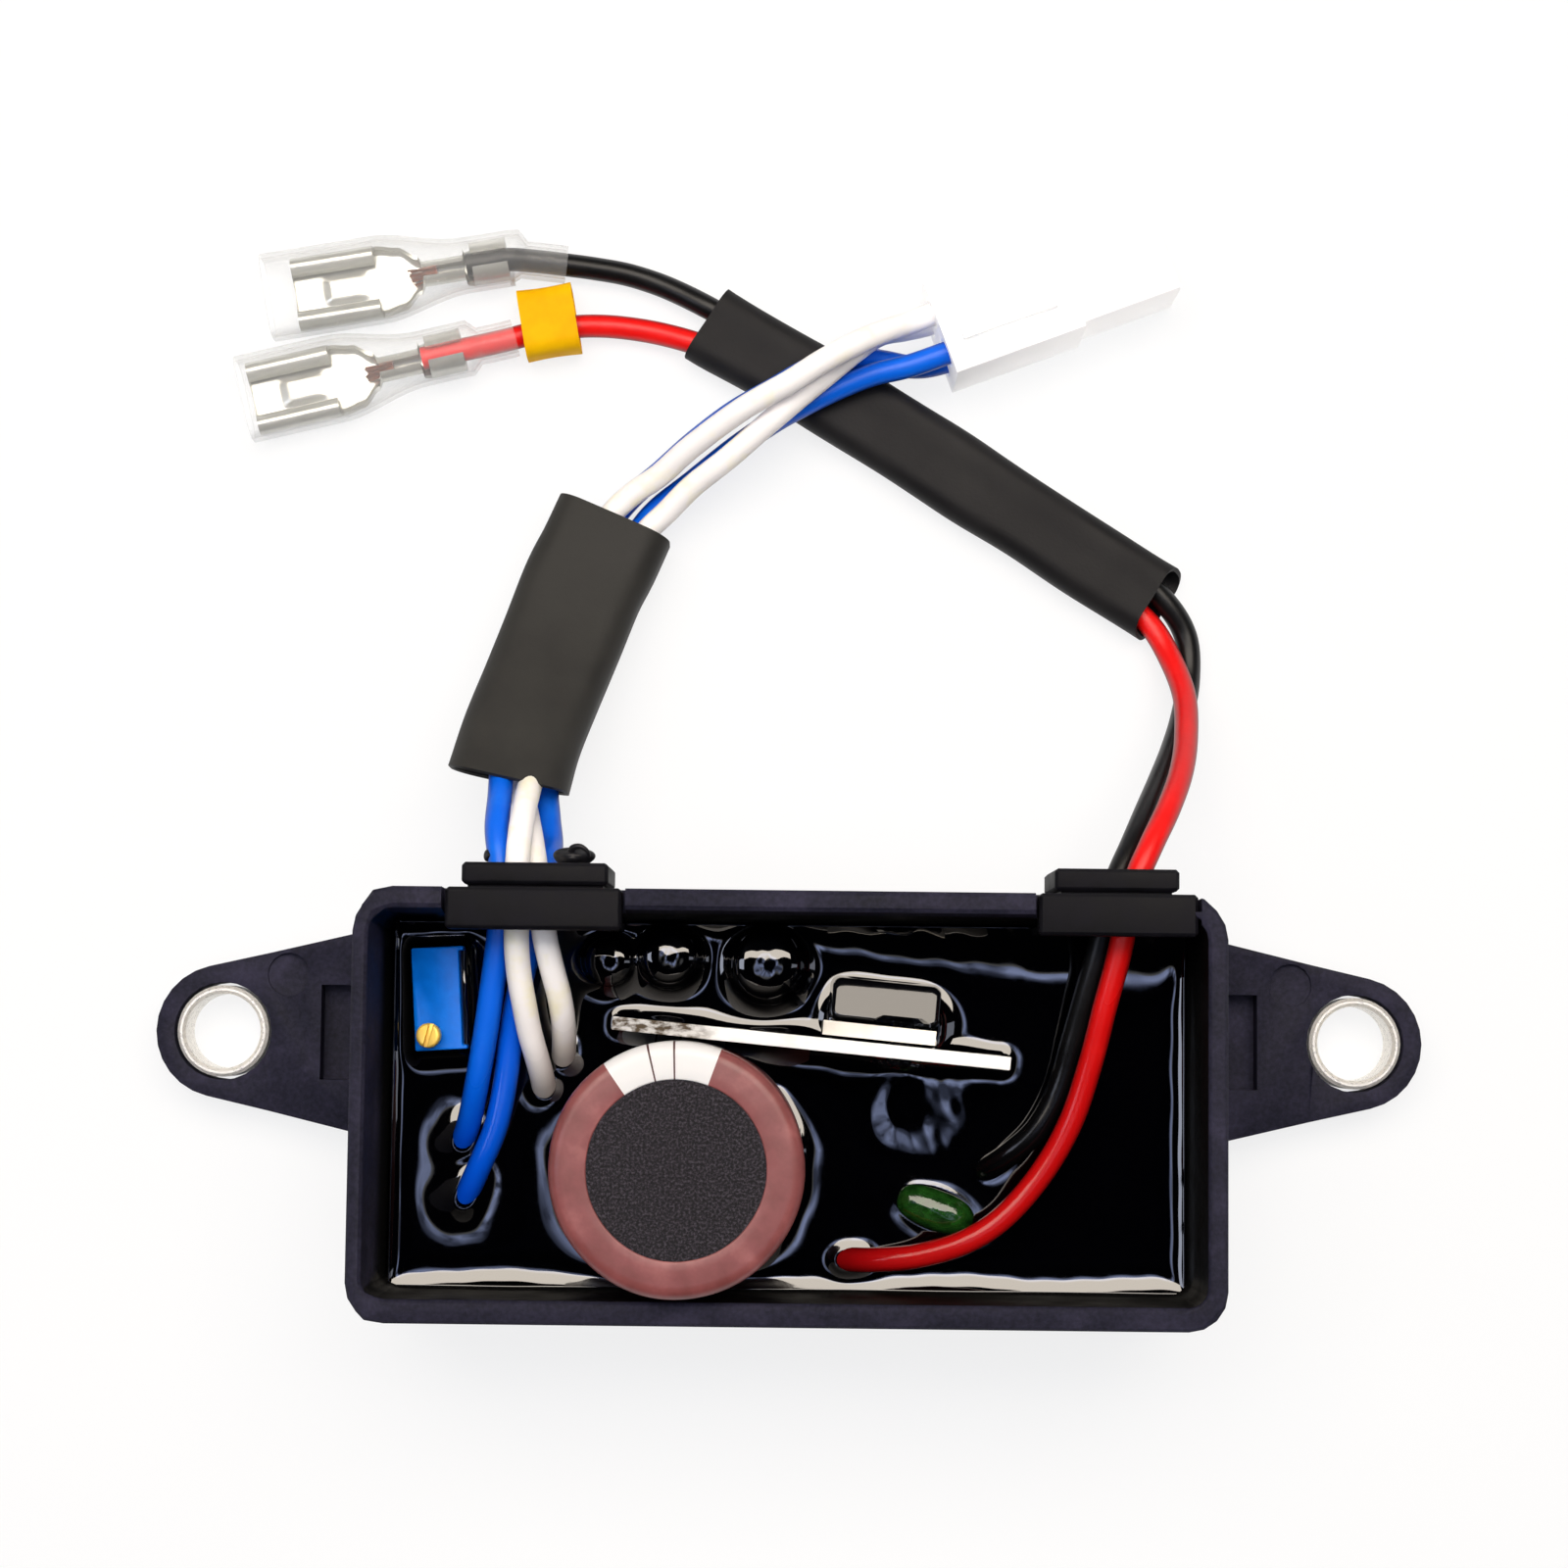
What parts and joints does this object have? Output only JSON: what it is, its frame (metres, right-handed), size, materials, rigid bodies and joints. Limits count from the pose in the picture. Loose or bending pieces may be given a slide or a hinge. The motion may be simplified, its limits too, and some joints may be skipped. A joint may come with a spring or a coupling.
{
  "type": "automatic voltage regulator",
  "caption": "Resin-potted voltage regulator in an open moulded case with two bushed mounting ears, sleeved leads, booted push-on terminals and a plug.",
  "frame": {"origin": "centre of the case's flat back face, with the regulator lying on that face", "axes": "+X along the case through both ears, +Y towards the wall that the leads leave by, +Z from the back face to the open side that shows the resin and the parts"},
  "size_m": [0.122, 0.1064, 0.0317],
  "materials": {
    "case_nylon": "moulded charcoal nylon, fine matt mottle",
    "grommet_rubber": "dark grey moulded rubber, satin",
    "bush_steel": "turned bright steel",
    "potting_resin": "cured black potting resin, wet gloss",
    "board_laminate": "glass laminate circuit board",
    "can_aluminium": "drawn aluminium can",
    "shrink_film": "maroon-brown heat-shrunk film",
    "disc_paper": "black grainy insulating disc",
    "bung_rubber": "black rubber bung",
    "trimmer_plastic": "bright blue moulded trimmer case",
    "screw_brass": "turned brass, slotted",
    "plate_aluminium": "bright sheet aluminium",
    "tab_tin": "bright tinned metal",
    "transistor_epoxy": "black moulded epoxy",
    "film_capacitor_coat": "dark green dipped coat, glossy",
    "capacitor_black": "black resin-wet dome, glossy",
    "sealant": "black sealant, cured",
    "lead_red": "red lead insulation, satin",
    "lead_black": "black lead insulation, satin",
    "lead_white": "white lead insulation, satin",
    "lead_blue": "blue lead insulation, satin",
    "sleeve_black": "charcoal lead sleeve, matt",
    "marker_yellow": "yellow marker sleeve",
    "terminal_tin": "bright tinned brass sheet",
    "boot_clear": "clear soft PVC",
    "plug_nylon": "natural white nylon"
  },
  "bodies": {
    "regulator": {"housing": "case_nylon", "bush_left": "bush_steel", "bush_right": "bush_steel", "circuit_board": "board_laminate", "potting_resin": "potting_resin", "capacitor_can": "can_aluminium", "capacitor_sleeve": "shrink_film", "capacitor_top_disc": "disc_paper", "capacitor_bung": "bung_rubber", "heatsink_plate": "plate_aluminium", "transistor_tab": "tab_tin", "transistor_body": "transistor_epoxy", "transistor_rivet": "tab_tin", "trimmer_body": "trimmer_plastic", "small_capacitor_1": "capacitor_black", "small_capacitor_2": "capacitor_black", "small_capacitor_3": "capacitor_black", "film_capacitor": "film_capacitor_coat", "rectifier_block": "transistor_epoxy", "grommet_left": "grommet_rubber", "grommet_right": "grommet_rubber", "sealant_bead_left": "sealant", "sealant_bead_right": "sealant", "lead_red": "lead_red", "lead_black": "lead_black", "sense_white_1": "lead_white", "sense_white_2": "lead_white", "sense_blue_1": "lead_blue", "sense_blue_2": "lead_blue", "long_sleeve": "sleeve_black", "short_sleeve": "sleeve_black", "marker_tube": "marker_yellow", "spade_terminal_red": "terminal_tin", "spade_terminal_black": "terminal_tin", "boot_red": "boot_clear", "boot_black": "boot_clear", "plug_housing": "plug_nylon", "plug_contact_1": "terminal_tin", "plug_contact_2": "terminal_tin", "plug_contact_3": "terminal_tin", "plug_contact_4": "terminal_tin"},
    "trimmer_screw": {"trimmer_screw": "screw_brass"}
  },
  "joints": [
    {"name": "trimmer_turn", "type": "hinge", "parent": "regulator", "child": "trimmer_screw", "pos_m": [-0.03324, 0.00625, 0.0172], "axis": [0, 0, 1], "continuous": true}
  ]
}
